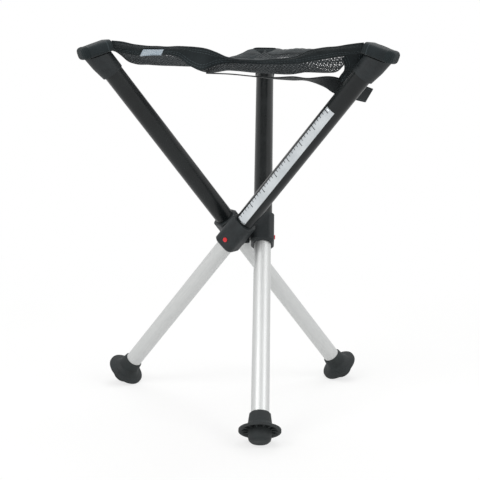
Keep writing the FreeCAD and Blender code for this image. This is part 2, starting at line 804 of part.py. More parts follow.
leg_makers = {
    "upper_tube": make_upper_tube,
    "leg_sleeve": make_leg_sleeve,
    "top_cap": make_top_cap,
    "corner_pocket": make_corner_pocket,
    "lock_button": make_lock_button,
    "lower_tube": make_lower_tube,
    "guide_bush": make_guide_bush,
    "catch_spring": make_catch_spring,
    "foot": make_foot,
}


def build():
    """Every node by name."""
    nodes = {"hub_block": make_hub_block(), "pivot_screws": make_pivot_screws()}
    for name, maker in leg_makers.items():
        shape = maker()
        for leg in arm_azimuths:
            nodes[f"{name}_{leg}"] = placed(shape, leg_placement(leg))
    for side, band in bands.items():
        nodes[f"seat_band_{side}"] = make_band(band)
    nodes["seat_mesh"] = make_seat_mesh()
    nodes["seat_tag"] = make_seat_tag()
    nodes["under_strap"] = make_under_strap()
    return nodes


os.makedirs("parts", exist_ok=True)
for node_name, node_shape in build().items():
    node_shape.exportStep(f"parts/{node_name}.step")
    box = node_shape.BoundBox
    print(node_name, len(node_shape.Solids), node_shape.isValid(), round(node_shape.Volume, 1),
          [round(v, 1) for v in (box.XMin, box.YMin, box.ZMin, box.XMax, box.YMax, box.ZMax)])
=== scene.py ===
import math

import bpy
import numpy as np
from mathutils import Matrix, Vector


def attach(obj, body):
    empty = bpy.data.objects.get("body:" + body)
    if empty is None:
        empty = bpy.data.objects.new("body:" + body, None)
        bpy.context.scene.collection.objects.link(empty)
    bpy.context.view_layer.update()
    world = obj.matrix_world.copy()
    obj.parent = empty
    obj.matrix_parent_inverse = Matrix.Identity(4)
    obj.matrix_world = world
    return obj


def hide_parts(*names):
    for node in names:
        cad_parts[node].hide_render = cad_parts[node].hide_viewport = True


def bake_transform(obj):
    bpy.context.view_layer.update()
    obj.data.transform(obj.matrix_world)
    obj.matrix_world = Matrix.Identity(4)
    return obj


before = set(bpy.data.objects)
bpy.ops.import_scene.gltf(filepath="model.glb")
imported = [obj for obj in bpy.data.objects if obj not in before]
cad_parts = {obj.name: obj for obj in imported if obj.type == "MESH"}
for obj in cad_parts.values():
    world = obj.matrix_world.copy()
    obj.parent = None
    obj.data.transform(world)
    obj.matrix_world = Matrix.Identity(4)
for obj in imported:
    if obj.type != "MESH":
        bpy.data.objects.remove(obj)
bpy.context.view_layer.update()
mm = 0.001

# the stool as the CAD has it: where the legs turn, how they lean, and the flat tongue on each leg's head
stance = {"pivotHeight": 215 * mm, "pivotArm": 23.5 * mm, "lean": 40.1, "arms": {"a": 240, "b": 120, "c": 0}}
tongue = {"height": 436 * mm, "slope": 19.5, "thick": 8.5 * mm, "out": 17.5 * mm, "in": 11 * mm,
          "rootHalf": 15 * mm, "tipHalf": 11.5 * mm, "tipCorner": 7.5 * mm, "edge": 3.4 * mm}


def turn(degrees, axis):
    # rotation as a 3 by 3 array
    return np.array(Matrix.Rotation(math.radians(degrees), 3, axis))


def legTurn(leg):
    # lean an upright leg, then turn it to its arm of the hub
    return turn(stance["arms"][leg], "Z") @ turn(-stance["lean"], "X")


def onLeg(leg, points):
    # a leg's own frame, upright at its pivot, carried into the stool
    arm = turn(stance["arms"][leg], "Z") @ np.array([stance["pivotArm"], 0, stance["pivotHeight"]])
    return points @ legTurn(leg).T + arm


def onTongue(leg, across, along, above):
    # a tongue's frame: across it, out along it and up through it, from where it crosses the leg's axis
    across, along, above = np.broadcast_arrays(across, along, above)
    rise = (tongue["height"] - stance["pivotHeight"]) / math.cos(math.radians(stance["lean"]))
    local = np.stack([across, along, above], axis=-1) @ turn(stance["lean"] - tongue["slope"], "X").T
    return onLeg(leg, local + np.array([0, 0, rise]))


def mix(first, second, share):
    # along a straight line from the first to the second
    return first * (1 - share) + second * share


def smooth(value, start, end):
    # 0 before start, 1 after end, and an even S between
    share = np.clip((value - start) / (end - start), 0, 1)
    return share * share * (3 - 2 * share)


def unit(vectors):
    # each vector over its own length
    return vectors / np.maximum(np.linalg.norm(vectors, axis=-1, keepdims=True), 1e-12)


def column(values):
    # one value for each point, ready to multiply its three coordinates
    return np.asarray(values, float)[..., None]


def addObject(name, data):
    made = bpy.data.objects.new(name, data)
    bpy.context.scene.collection.objects.link(made)
    return made


print("camera")
camera = {"place": (15.7 * mm, -1263.8 * mm, 409.3 * mm), "heading": 0.922, "down": 9.159, "roll": 0.865,
          "lens": 76.69, "sensor": 36}


def makeCamera():
    # stands level facing +Y, then rolls, looks down and turns
    data = bpy.data.cameras.new("photo_camera")
    data.lens = camera["lens"]
    data.sensor_width = camera["sensor"]
    data.sensor_fit = "HORIZONTAL"
    eye = addObject("photo_camera", data)
    eye.matrix_world = (Matrix.Translation(camera["place"])
                        @ Matrix.Rotation(math.radians(camera["heading"]), 4, "Z")
                        @ Matrix.Rotation(math.radians(90 - camera["down"]), 4, "X")
                        @ Matrix.Rotation(math.radians(camera["roll"]), 4, "Z"))
    bpy.context.scene.camera = eye


makeCamera()


print("materials")


def colour(hexCode):
    # sRGB hex to the linear values that the shaders take
    channels = [int(hexCode[i:i + 2], 16) / 255 for i in (1, 3, 5)]
    return tuple(c / 12.92 if c <= 0.04045 else ((c + 0.055) / 1.055) ** 2.4 for c in channels) + (1,)


def node(tree, kind, inputs=None, stops=(), **settings):
    # one node with its settings and a colour ramp's stops. An input is a plain value, another node's output,
    # or a node, which gives its first output.
    made = tree.nodes.new("ShaderNode" + kind)
    for name, value in settings.items():
        setattr(made, name, value)
    for name, value in (inputs or {}).items():
        if isinstance(value, bpy.types.Node):
            value = value.outputs[0]
        if isinstance(value, bpy.types.NodeSocket):
            tree.links.new(value, made.inputs[name])
        else:
            made.inputs[name].default_value = value
    for index, (place, hexCode) in enumerate(stops):
        made.color_ramp.elements[index].position = place
        made.color_ramp.elements[index].color = colour(hexCode)
    return made


def newMaterial(name):
    # an empty material, its tree, and the place of a point in the stool
    material = bpy.data.materials.new(name)
    material.use_nodes = True
    tree = material.node_tree
    tree.nodes.clear()
    return material, tree, node(tree, "TexCoord").outputs["Object"]


def finish(material, surface, height=None, relief=None):
    # the one shader of a material, its sockets by name, over a relief of some depth and strength
    tree = material.node_tree
    if relief:
        depth, strength = relief
        surface["Normal"] = node(tree, "Bump", {"Height": height, "Distance": depth, "Strength": strength})
    node(tree, "OutputMaterial", {"Surface": node(tree, "BsdfPrincipled", surface)})
    return material


# the part of its range that a noise mostly fills
noiseSpan = (0.3, 0.7)


def toneAndGloss(tree, value, look, glossSpan=noiseSpan):
    # a finish's two colours and its two roughnesses, from where a value is low to where it is high
    tone = node(tree, "ValToRGB", {"Fac": value}, zip(noiseSpan, look["tones"]))
    gloss = node(tree, "MapRange", {"Value": value, "From Min": glossSpan[0], "From Max": glossSpan[1],
                                    "To Min": look["gloss"][0], "To Max": look["gloss"][1]})
    return tone, gloss


def skin(name, look):
    # plastic, rubber or paint as its tool or oven leaves it: pits or orange peel in the relief, and a slow
    # mottle in tone and gloss. Grain and mottle are a noise's size and detail, relief is depth and strength.
    material, tree, place = newMaterial(name)
    grain, mottle = [node(tree, "TexNoise", {"Vector": place, "Scale": 1 / size, "Detail": detail})
                     for size, detail in (look["grain"], look["mottle"])]
    tone, gloss = toneAndGloss(tree, mottle, look)
    return finish(material, {"Base Color": tone, "Roughness": gloss, "IOR": look["ior"],
                             "Specular IOR Level": look["specular"]}, grain, look["relief"])


# polyamide 6 with glass fibre, injection moulded: dull, faintly cloudy where its fibres lie near the skin.
# The tool's pits are about 0.1 mm and would not show, so they are drawn at 0.5 mm.
nylon = skin("mouldedGlassFilledNylon", {
    "tones": ("#191d1f", "#24292b"), "gloss": (0.46, 0.6), "ior": 1.53, "specular": 0.3,
    "grain": (0.5 * mm, 3), "mottle": (9 * mm, 2), "relief": (0.05 * mm, 0.6)})
# acetal moulded smooth, with the slight waxy gloss that lets it slide
acetal = skin("mouldedAcetal", {
    "tones": ("#383d3f", "#44494b"), "gloss": (0.32, 0.4), "ior": 1.48, "specular": 0.5,
    "grain": (0.4 * mm, 3), "mottle": (12 * mm, 2), "relief": (0.02 * mm, 0.6)})
# ABS moulded in a polished tool: an even bright red with a soft highlight
redAbs = skin("mouldedRedAbs", {
    "tones": ("#c8141c", "#e2252c"), "gloss": (0.26, 0.36), "ior": 1.54, "specular": 0.5,
    "grain": (0.6 * mm, 3), "mottle": (3 * mm, 2), "relief": (0.01 * mm, 0.6)})
# natural and SBR rubber, compression moulded: matt, with a grey bloom and dust in its pits
rubber = skin("mouldedRubber", {
    "tones": ("#1a1e1f", "#2a2f30"), "gloss": (0.6, 0.8), "ior": 1.52, "specular": 0.35,
    "grain": (0.7 * mm, 3), "mottle": (14 * mm, 2), "relief": (0.09 * mm, 0.6)})
# epoxy powder baked on tube: a satin skin, its orange peel in waves of about 1.2 mm
enamel = skin("satinPowderCoat", {
    "tones": ("#121516", "#1a1e1f"), "gloss": (0.26, 0.36), "ior": 1.5, "specular": 0.3,
    "grain": (1.2 * mm, 1), "mottle": (22 * mm, 4), "relief": (0.03 * mm, 0.5)})


def drawnMetal(name, look, leg):
    # lines along a drawn tube: noise stretched along the leg's own axis, faint in colour, gloss and relief
    material, tree, place = newMaterial(name)
    back = Matrix(legTurn(leg).T.tolist()).to_euler("XYZ")
    upright = node(tree, "Mapping", {"Vector": place, "Rotation": back})
    stretched = node(tree, "Mapping", {"Vector": upright, "Scale": (1, 1, look["stretch"])})
    lines = node(tree, "TexNoise", {"Vector": stretched, "Scale": 1 / look["line"], "Detail": 3.0})
    tone, gloss = toneAndGloss(tree, lines, look)
    return finish(material, {"Base Color": tone, "Metallic": look["metallic"], "Roughness": gloss},
                  lines, look["relief"])


# drawn aluminium tube, etched and clear anodised: a pale satin metal whose die lines still show.
# The lines are some 0.05 mm wide and are drawn at 0.5 mm.
anodised = {leg: drawnMetal(f"anodisedAluminium_{leg}", {
    "tones": ("#c2c4c4", "#cfd0cf"), "gloss": (0.42, 0.52), "metallic": 0.65, "line": 0.5 * mm,
    "stretch": 0.02, "relief": (0.01 * mm, 0.4)}, leg) for leg in stance["arms"]}
# bright zinc on steel: turned and plated, with a cool grey tint
zinc = drawnMetal("zincPlatedSteel", {
    "tones": ("#8f9396", "#b4b8ba"), "gloss": (0.28, 0.4), "metallic": 1.0, "line": 0.6 * mm,
    "stretch": 1.0, "relief": (0.01 * mm, 0.4)}, "c")


# how much a weave's threads waver, their share in its tone, where on a ramp its two colours lie, and how far
# a stitch stands above the threads
weaving = {"waver": 0.3, "threadShare": 0.45, "toneSpan": (0.2, 0.8), "stitchLift": 1.5,
           "sheenRoughness": 0.4}


def woven(name, look):
    # cloth by its UV in metres: rows of threads one way and the other, each thread a small ridge, with the
    # sewing thread's stitches in lines at set distances from both edges where the piece has an edge map
    material, tree, place = newMaterial(name)
    weave = node(tree, "UVMap", uv_map="weave")
    # a wave texture repeats every 2 pi / 20 of its scaled coordinate
    warp, weft = [node(tree, "TexWave", {"Vector": weave, "Scale": 2 * math.pi / 20 / look[way],
                                         "Distortion": weaving["waver"]},
                       bands_direction=axis).outputs["Fac"] for way, axis in (("warp", "X"), ("weft", "Y"))]
    height = node(tree, "Math", {0: warp, 1: weft}, operation="MULTIPLY")
    cloud = node(tree, "TexNoise", {"Vector": place, "Scale": 1 / look["cloud"], "Detail": 3.0})
    shade = node(tree, "Math", {0: height, 1: weaving["threadShare"]}, operation="MULTIPLY")
    shade = node(tree, "Math", {0: cloud, 1: 1 - weaving["threadShare"], 2: shade}, operation="MULTIPLY_ADD")
    tone = node(tree, "ValToRGB", {"Fac": shade}, zip(weaving["toneSpan"], look["tones"]))
    if "stitches" in look:
        mask = stitchMask(tree, weave, look["stitches"])
        sewn = node(tree, "Mix", {"Factor": mask, 6: tone, 7: colour(look["thread"])}, data_type="RGBA")
        tone = sewn.outputs[2]
        height = node(tree, "Math", {0: mask, 1: weaving["stitchLift"], 2: height}, operation="MULTIPLY_ADD")
    return finish(material, {"Base Color": tone, "Roughness": look["roughness"],
                             "Specular IOR Level": look["specular"], "Sheen Weight": look["sheen"],
                             "Sheen Roughness": weaving["sheenRoughness"]}, height, look["relief"])


def dashes(tree, along, step, share):
    # 1 over the first share of each step of a length, and 0 over the rest
    steps = node(tree, "Math", {0: along, 1: 1 / step}, operation="MULTIPLY")
    phase = node(tree, "Math", {0: steps}, operation="FRACT")
    return node(tree, "Math", {0: phase, 1: share}, operation="LESS_THAN")


def stitchMask(tree, weave, stitches):
    # 1 on a stitch: close to one of the lines, and not in the gap between two stitches along it
    distances = node(tree, "SeparateXYZ", {"Vector": node(tree, "UVMap", uv_map="edges")})
    along = node(tree, "SeparateXYZ", {"Vector": weave}).outputs["X"]
    near = 0.0
    for line in stitches["lines"]:
        for side in ("X", "Y"):
            close = node(tree, "Math", {0: distances.outputs[side], 1: line, 2: stitches["thick"] / 2},
                         operation="COMPARE")
            near = node(tree, "Math", {0: near, 1: close}, operation="MAXIMUM")
    thread = dashes(tree, along, stitches["pitch"], stitches["share"])
    return node(tree, "Math", {0: near, 1: thread}, operation="MULTIPLY")


# polyester pack cloth in a plain weave, hemmed with bonded thread: matt black with a grey bloom at a low
# angle. Its threads are 0.4 mm apart and are drawn at 0.9 mm, and the sewing thread at 0.7 mm.
packCloth = woven("plainWeavePolyester", {
    "tones": ("#151b1d", "#2a3235"), "thread": "#3c4548", "warp": 0.9 * mm, "weft": 0.9 * mm,
    "cloud": 16 * mm, "relief": (0.12 * mm, 0.7), "roughness": 0.78, "specular": 0.25, "sheen": 0.1,
    "stitches": {"lines": (2.6 * mm, 5.4 * mm), "thick": 0.7 * mm, "pitch": 3.4 * mm, "share": 0.72}})
# polyester webbing binding: heavy ribs across the tape, a little darker than the cloth beside it
bindingTape = woven("ribbedPolyesterBinding", {
    "tones": ("#151c1e", "#2c3537"), "warp": 1.3 * mm, "weft": 1.0 * mm,
    "cloud": 9 * mm, "relief": (0.25 * mm, 0.7), "roughness": 0.85, "specular": 0.25, "sheen": 0.08})
# polypropylene webbing: coarse ribs, with the dull shine of its yarn
webbing = woven("polypropyleneWebbing", {
    "tones": ("#111517", "#22282a"), "thread": "#343b3e", "warp": 1.6 * mm, "weft": 1.5 * mm,
    "cloud": 20 * mm, "relief": (0.25 * mm, 0.7), "roughness": 0.66, "specular": 0.3, "sheen": 0.06,
    "stitches": {"lines": (1.6 * mm,), "thick": 0.6 * mm, "pitch": 3.0 * mm, "share": 0.7}})
# knitted polyester air mesh: fine loops on strands between round holes, with soft sheen
airMesh = woven("knittedAirMesh", {
    "tones": ("#191f22", "#2f373b"), "warp": 0.7 * mm, "weft": 0.9 * mm,
    "cloud": 18 * mm, "relief": (0.15 * mm, 0.7), "roughness": 0.72, "specular": 0.3, "sheen": 0.12})
# a bare woven label in pale satin yarn
labelCloth = woven("wovenSatinLabel", {
    "tones": ("#9fb0bd", "#d9e0e6"), "thread": "#5d6f7c", "warp": 0.7 * mm, "weft": 2.2 * mm,
    "cloud": 5 * mm, "relief": (0.08 * mm, 0.7), "roughness": 0.5, "specular": 0.5, "sheen": 0.1,
    "stitches": {"lines": (1.2 * mm,), "thick": 0.5 * mm, "pitch": 2.4 * mm, "share": 0.7}})


def printedFilm(name, look):
    # polyester film with a plain ruler: long and short marks at set steps along it, in one dark ink
    material, tree, place = newMaterial(name)
    sides = node(tree, "SeparateXYZ", {"Vector": node(tree, "UVMap", uv_map="weave")})
    ink = 0.0
    for step, thick, start, end in look["marks"]:
        mark = dashes(tree, sides.outputs["X"], step, thick / step)
        past = node(tree, "Math", {0: sides.outputs["Y"], 1: start}, operation="GREATER_THAN")
        before = node(tree, "Math", {0: sides.outputs["Y"], 1: end}, operation="LESS_THAN")
        row = node(tree, "Math", {0: past, 1: before}, operation="MULTIPLY")
        drawn = node(tree, "Math", {0: mark, 1: row}, operation="MULTIPLY")
        ink = node(tree, "Math", {0: ink, 1: drawn}, operation="MAXIMUM")
    cloud = node(tree, "TexNoise", {"Vector": place, "Scale": 1 / look["cloud"], "Detail": 2.0})
    silver, gloss = toneAndGloss(tree, cloud, look, (0, 1))
    tone = node(tree, "Mix", {"Factor": ink, 6: silver, 7: colour(look["ink"])}, data_type="RGBA").outputs[2]
    return finish(material, {"Base Color": tone, "Metallic": look["metallic"], "Roughness": gloss,
                             "Coat Weight": look["coat"], "Coat Roughness": look["coatRoughness"]})


# metallised polyester film under a clear one: pale silver, glossier than a bare tube. Each row of marks has
# its step, the thickness of a mark, and where it starts and ends across the film.
filmLabel = printedFilm("metallisedPolyesterFilm", {
    "tones": ("#b9bfc3", "#ced3d6"), "ink": "#3a3f42", "cloud": 25 * mm, "gloss": (0.22, 0.36),
    "metallic": 0.25, "coat": 0.4, "coatRoughness": 0.1,
    "marks": [(5 * mm, 0.9 * mm, 0, 3.5 * mm), (25 * mm, 1.1 * mm, 0, 7 * mm)]})


def paint(name, material):
    # a CAD node keeps its mesh and gets a better finish
    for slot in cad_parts[name].material_slots:
        slot.link = "OBJECT"
        slot.material = material


legFinishes = {"upper_tube": enamel, "leg_sleeve": nylon, "top_cap": nylon, "lock_button": redAbs,
               "guide_bush": acetal, "catch_spring": zinc, "foot": rubber}
for leg in stance["arms"]:
    paint(f"lower_tube_{leg}", anodised[leg])
    for name, material in legFinishes.items():
        paint(f"{name}_{leg}", material)
paint("hub_block", nylon)
paint("pivot_screws", zinc)


print("cloth helpers")


def gridFaces(rows, columns, joined):
    # a square between every four neighbours of a grid, its last column joined to the first where asked
    across = columns if joined else columns - 1
    row, here = np.meshgrid(np.arange(rows - 1), np.arange(across), indexing="ij")
    there = (here + 1) % columns
    quads = np.stack([row * columns + here, row * columns + there,
                      (row + 1) * columns + there, (row + 1) * columns + here], axis=-1)
    return quads.reshape(-1, 4)


def makePiece(name, points, faces, maps, material, ends=()):
    # a mesh from arrays: its points, its squares, one UV per point in each map, and a cap on each end ring
    mesh = bpy.data.meshes.new(name)
    mesh.from_pydata(points.reshape(-1, 3).tolist(), [], faces.tolist() + [ring.tolist() for ring in ends])
    corners = np.empty(len(mesh.loops), dtype=np.int32)
    mesh.loops.foreach_get("vertex_index", corners)
    for mapName, values in maps.items():
        layer = mesh.uv_layers.new(name=mapName)
        layer.data.foreach_set("uv", values.reshape(-1, 2)[corners].astype(np.float32).ravel())
    mesh.polygons.foreach_set("use_smooth", np.ones(len(mesh.polygons), dtype=bool))
    mesh.materials.append(material)
    mesh.validate()
    return addObject(name, mesh)


# the points round a strip's edge, in degrees from its top
edgeTurns = np.array([45, 90, 135])


def stripForm(top, down, thick, growTop=0.0):
    # closed sections of a strip of cloth: over the top, round one edge, back underneath and round the other.
    # A point of a rounded edge stands off its middle by half the thickness, turned from up to down.
    outer = unit(top[:, 0] - top[:, 1])
    inner = unit(top[:, -1] - top[:, -2])
    lifted = top - down * column(growTop)
    under = top + down * column(thick)

    def roundEdge(index, away, turns):
        middle = (lifted[:, index] + under[:, index]) / 2
        reach = np.linalg.norm(under[:, index] - lifted[:, index], axis=-1)[:, None, None] / 2
        angle = np.radians(turns)[None, :, None]
        turned = away[:, None] * np.sin(angle) - down[:, index][:, None] * np.cos(angle)
        return middle[:, None] + reach * turned

    return np.concatenate([lifted, roundEdge(-1, inner, edgeTurns), under[:, ::-1],
                           roundEdge(0, outer, edgeTurns[::-1])], axis=1)


def stripMaps(top):
    # UV in metres along and across the strip, and each point's distance from its two edges, kept over the
    # rounded edges and repeated underneath
    along = np.cumsum(np.r_[0, np.linalg.norm(np.diff(top.mean(axis=1), axis=0), axis=-1)])
    across = np.cumsum(np.linalg.norm(np.diff(top, axis=1), axis=-1), axis=1)
    across = np.pad(across, ((0, 0), (1, 0)))
    width = across[:, -1:]
    rounded = np.repeat(width, len(edgeTurns), axis=1)
    loop = np.concatenate([across, rounded, across[:, ::-1], rounded * 0], axis=1)
    return {"weave": np.stack([np.broadcast_to(along[:, None], loop.shape), loop], axis=-1),
            "edges": np.stack([loop, width - loop], axis=-1)}


def stripPiece(name, top, down, thick, material, growTop=0.0):
    # sections joined along the strip, both ends capped
    form = stripForm(top, down, thick, growTop)
    rows, columns = form.shape[:2]
    ring = np.arange(columns)
    return makePiece(name, form, gridFaces(rows, columns, True)[:, ::-1], stripMaps(top), material,
                     [ring, (ring + (rows - 1) * columns)[::-1]])


def thicken(piece, thick, offset=-1):
    # a wall on one side of the faces, or half on each side where the offset is 0
    wall = piece.modifiers.new("wall", "SOLIDIFY")
    wall.thickness = thick
    wall.offset = offset


# the distance from an edge, in metres, that pieces have in their maps where no stitches show
noEdge = 1.0

print("pockets")
pocket = {"cloth": 1.3 * mm, "gap": 0.05 * mm, "in": 15 * mm, "hem": 7.5 * mm, "hemThick": 0.7 * mm,
          "rings": 60, "hemRings": 26, "round": 56, "liningIn": 0.4 * mm, "sidePower": 0.32,
          "topPower": 0.512, "tipPower": 1.6, "lipShare": 0.045, "lip": 1 * mm, "hemWallShare": 1.5}
# how far the cloth's outside stands off the tongue
clothOut = pocket["cloth"] + pocket["gap"]
# creases: their height, their waves along and across the pocket, and where they rise and fade along it
crease = {"height": 0.35 * mm, "along": 5.3 * mm, "slant": 9 * mm, "across": 4.1 * mm, "phase": 0.7,
          "rise": (-13 * mm, -5 * mm), "fade": (6 * mm, 12 * mm)}


def tongueHalf(along):
    # the tongue's sides taper evenly from its root to its tip
    share = (along + tongue["in"]) / (tongue["out"] + tongue["in"])
    return mix(tongue["rootHalf"], tongue["tipHalf"], share)


def pocketForm(along, grow):
    # rounded rectangles round the tongue: the half width follows the taper and a quarter circle at the tip's
    # corners, the half height a quarter circle at the tip's edge, and the section's corner is a power curve
    tip = tongue["out"] + grow
    corner = tongue["tipCorner"] + grow
    edge = tongue["edge"] + grow / 2
    nearCorner = np.clip((along - tip + corner) / corner, 0, 1)
    nearEdge = np.clip((along - tip + edge) / edge, 0, 1)
    wide = tongueHalf(np.minimum(along, tongue["out"])) + grow - corner * (1 - np.sqrt(1 - nearCorner ** 2))
    tall = tongue["thick"] / 2 + grow - edge * (1 - np.sqrt(1 - nearEdge ** 2))
    turns = np.linspace(0, 2 * math.pi, pocket["round"], endpoint=False)
    x = np.sign(np.cos(turns)) * np.abs(np.cos(turns)) ** pocket["sidePower"]
    z = np.sign(np.sin(turns)) * np.abs(np.sin(turns)) ** pocket["topPower"]
    return wide[:, None] * x, tall[:, None] * z


def pocketMaps(form):
    # UV in metres: along the pocket, and round each ring
    along = np.cumsum(np.r_[0, np.linalg.norm(np.diff(form.mean(axis=1), axis=0), axis=-1)])
    steps = np.linalg.norm(np.diff(np.concatenate([form, form[:, :1]], axis=1), axis=1), axis=-1)
    loop = np.cumsum(steps, axis=1) - steps
    end = np.broadcast_to(along[:, None], loop.shape)
    return {"weave": np.stack([end, loop], axis=-1),
            "edges": np.stack([end, np.full(loop.shape, noEdge)], axis=-1)}


def towardsTip(rings):
    # shares from 0 to 1, closer together towards 1
    return 1 - (1 - np.linspace(0, 1, rings)) ** pocket["tipPower"]


def cornerPiece(name, leg, along, x, z, material, thick):
    # rings round the tongue, closed at the last, with their wall inside them
    form = onTongue(leg, x, along[:, None], z)
    rows, columns = x.shape
    piece = makePiece(f"{name}_{leg}", form, gridFaces(rows, columns, True), pocketMaps(form), material,
                      [np.arange(columns) + (rows - 1) * columns])
    thicken(piece, thick)
    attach(piece, f"leg_{leg}_upper")
    return piece, form


def makePocket(leg):
    # the drawn-over corner of the seat, open towards the seat. Its small creases fade to its mouth and tip.
    along = -pocket["in"] + (tongue["out"] + clothOut + pocket["in"]) * towardsTip(pocket["rings"])
    x, z = pocketForm(along, clothOut)
    waves = np.sin(along[:, None] / crease["along"] + x / crease["slant"])
    waves = crease["height"] * waves * np.sin(x / crease["across"] + crease["phase"])
    fade = smooth(along, *crease["rise"]) * (1 - smooth(along, *crease["fade"]))
    z = z + np.sign(z) * np.abs(waves) * fade[:, None]
    piece, form = cornerPiece("corner_pocket_cloth", leg, along, x, z, packCloth, pocket["cloth"])
    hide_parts(f"corner_pocket_{leg}")
    return piece, form


def makePocketEnd(leg):
    # ribbed tape bound over the pocket's tip, standing proud of the cloth by its own thickness
    grow = clothOut + pocket["hemThick"]
    start = tongue["out"] + grow - pocket["hem"]
    along = start + pocket["hem"] * towardsTip(pocket["hemRings"])
    x, z = pocketForm(along, grow)
    lip = 1 - pocket["lipShare"] * (1 - smooth(along, start, start + pocket["lip"]))[:, None]
    return cornerPiece("corner_binding", leg, along, x * lip, z * lip, bindingTape,
                       pocket["hemThick"] * pocket["hemWallShare"])[0]


def makeLining(leg):
    # a panel of the same cloth that closes the pocket's mouth round the seat's corner
    grow = pocket["gap"] + pocket["cloth"] / 2
    along = np.array([-pocket["in"] + pocket["liningIn"]])
    x, z = pocketForm(along, grow)
    form = onTongue(leg, x, along[:, None], z)
    maps = {"weave": np.stack([x, z], axis=-1), "edges": np.full(x.shape + (2,), noEdge)}
    piece = makePiece(f"corner_lining_{leg}", form, np.zeros((0, 4), int), maps, packCloth,
                      [np.arange(form.shape[1])[::-1]])
    thicken(piece, pocket["cloth"] / 2)
    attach(piece, f"leg_{leg}_upper")
    return piece


for leg in stance["arms"]:
    made, form = makePocket(leg)
    binding = makePocketEnd(leg)
    lining = makeLining(leg)


print("bands")
# the seat's cloth: a band along each edge, sewn along the corner seams, and mesh between them
seat = {"edgeBow": 9 * mm, "meshCorner": 13 * mm, "mouthGap": 0.4 * mm, "seamIn": 3.5 * mm,
        "seamGap": 1.3 * mm, "belly": 10 * mm, "leanShare": 0.6, "lowShare": 0.34, "steepness": 4,
        "hangKept": 0.3, "hangFade": 4}
# at each share of a band's length: how far its rim sags, and its inner edge drops and tucks, in millimetres.
# Beside the right leg the mesh falls away from the band more steeply, by its own drop and tuck.
bands = {
    "front": {"ends": ("b", "a"),
              "shares": [0, 0.05, 0.12, 0.2, 0.28, 0.33, 0.38, 0.43, 0.48, 0.55, 0.66, 0.73, 0.8, 0.88,
                         0.95, 1],
              "sag": [0.5, 1.3, 4, 5, 4.4, 5.4, 7.3, 11.8, 17.2, 18.6, 17.4, 14.5, 6.7, 3.3, 1.2, 0],
              "drop": [8.5, 13, 14, 12, 14.5, 24, 27, 16, 8, 7.4, 8.5, 10.5, 14.4, 13.6, 13, 8.5],
              "tuck": [0, 0, 0, 0, 0, 4, 9, 2, 0, 0, 0, 0, 0, 0, 0, 0]},
    "left": {"ends": ("c", "b"),
             "shares": [0, 0.05, 0.15, 0.3, 0.5, 0.7, 0.85, 0.95, 1],
             "sag": [1, 3, 10, 16, 16, 12, 7, 2, 0.5],
             "drop": [8.5, 10, 11, 12, 12, 16, 20, 13, 8.5],
             "tuck": [0, 0, 0, 0, 0, 2, 5, 0, 0]},
    "right": {"ends": ("a", "c"),
              "shares": [0, 0.05, 0.12, 0.2, 0.35, 0.5, 0.7, 0.88, 0.95, 1],
              "sag": [0, 1.2, 3, 4, 4, 2.5, 0.5, 1.2, 0.5, 0],
              "drop": [8.5, 9, 9, 9, 10, 10, 11, 11, 10, 8.5],
              "tuck": [0, 0, 0, 0, 0, 0, 0, 0, 0, 0],
              "meshDrop": [8.5, 21, 28, 25, 16, 12, 11, 11, 10, 8.5],
              "meshTuck": [0, 0, 8, 8, 2, 0, 0, 0, 0, 0]},
}
# shares are of a band's length, but that of entering is of its stretch in the pocket; waves are in radians
# along and across the band
bandLook = {"thick": 1.2 * mm, "hem": 0.55 * mm, "hemWidth": 6.5 * mm, "hemStep": 1.2 * mm,
            "hemEachSide": 0.5, "crown": 2.2 * mm, "ripple": 0.35 * mm, "waves": ((61, 2.2), (23, 5)),
            "calmShares": (0.02, 0.1), "stations": 90, "across": 19, "tucked": 6 * mm, "rimIn": 1.9 * mm,
            "enterShare": 0.12, "flushShare": 0.12}
upwards = np.array([0, 0, 1.0])


def mouthPoint(leg, across, further=0.0):
    # on the top of a pocket's mouth, or further in along its tongue
    return onTongue(leg, across, -pocket["in"] - seat["mouthGap"] - further, tongue["thick"] / 2)


def sideAlong(band):
    # straight from the first leg's tongue to the second's
    first, second = band["ends"]
    return unit(onTongue(second, 0, 0, 0) - onTongue(first, 0, 0, 0))


def sideInwards(band):
    # level, square to the side, towards the seat's middle
    return np.cross(upwards, sideAlong(band))


def bandSize(band, size, share):
    # a smooth curve through a list: between two values a cubic whose slope at each is its neighbours' chord
    x, y = np.asarray(band["shares"], float), np.asarray(band[size], float)
    here = np.arange(len(x))
    before, after = np.maximum(here - 1, 0), np.minimum(here + 1, len(x) - 1)
    slope = (y[after] - y[before]) / (x[after] - x[before])
    first = np.clip(np.searchsorted(x, share, side="right") - 1, 0, len(x) - 2)
    width = x[first + 1] - x[first]
    t = np.clip((share - x[first]) / width, 0, 1)
    swing = width * t * (1 - t) * (slope[first] * (1 - t) - slope[first + 1] * t)
    return (mix(y[first], y[first + 1], t * t * (3 - 2 * t)) + swing) * mm


def rimPoint(band, share):
    # the straight line between two pockets, drawn in by a sine arch and hung down by its sag
    first, second = band["ends"]
    half = tongueHalf(-pocket["in"]) + clothOut
    chord = mix(mouthPoint(first, -half), mouthPoint(second, half), column(share))
    bow = column(seat["edgeBow"] * np.sin(math.pi * share))
    return chord + sideInwards(band) * bow - upwards * column(bandSize(band, "sag", share))


def bandLength(band):
    # between the middles of its two pockets' mouths
    first, second = band["ends"]
    return np.linalg.norm(mouthPoint(second, 0) - mouthPoint(first, 0))


def cornerShare(band):
    # how much of the band's length a corner seam takes
    return seat["meshCorner"] / bandLength(band)


def hang(band, share, drop="drop", tuck="tuck"):
    # how far the band carries its inner edge down and out
    return (sideInwards(band) * column(-bandSize(band, tuck, share))
            - upwards * column(bandSize(band, drop, share)))


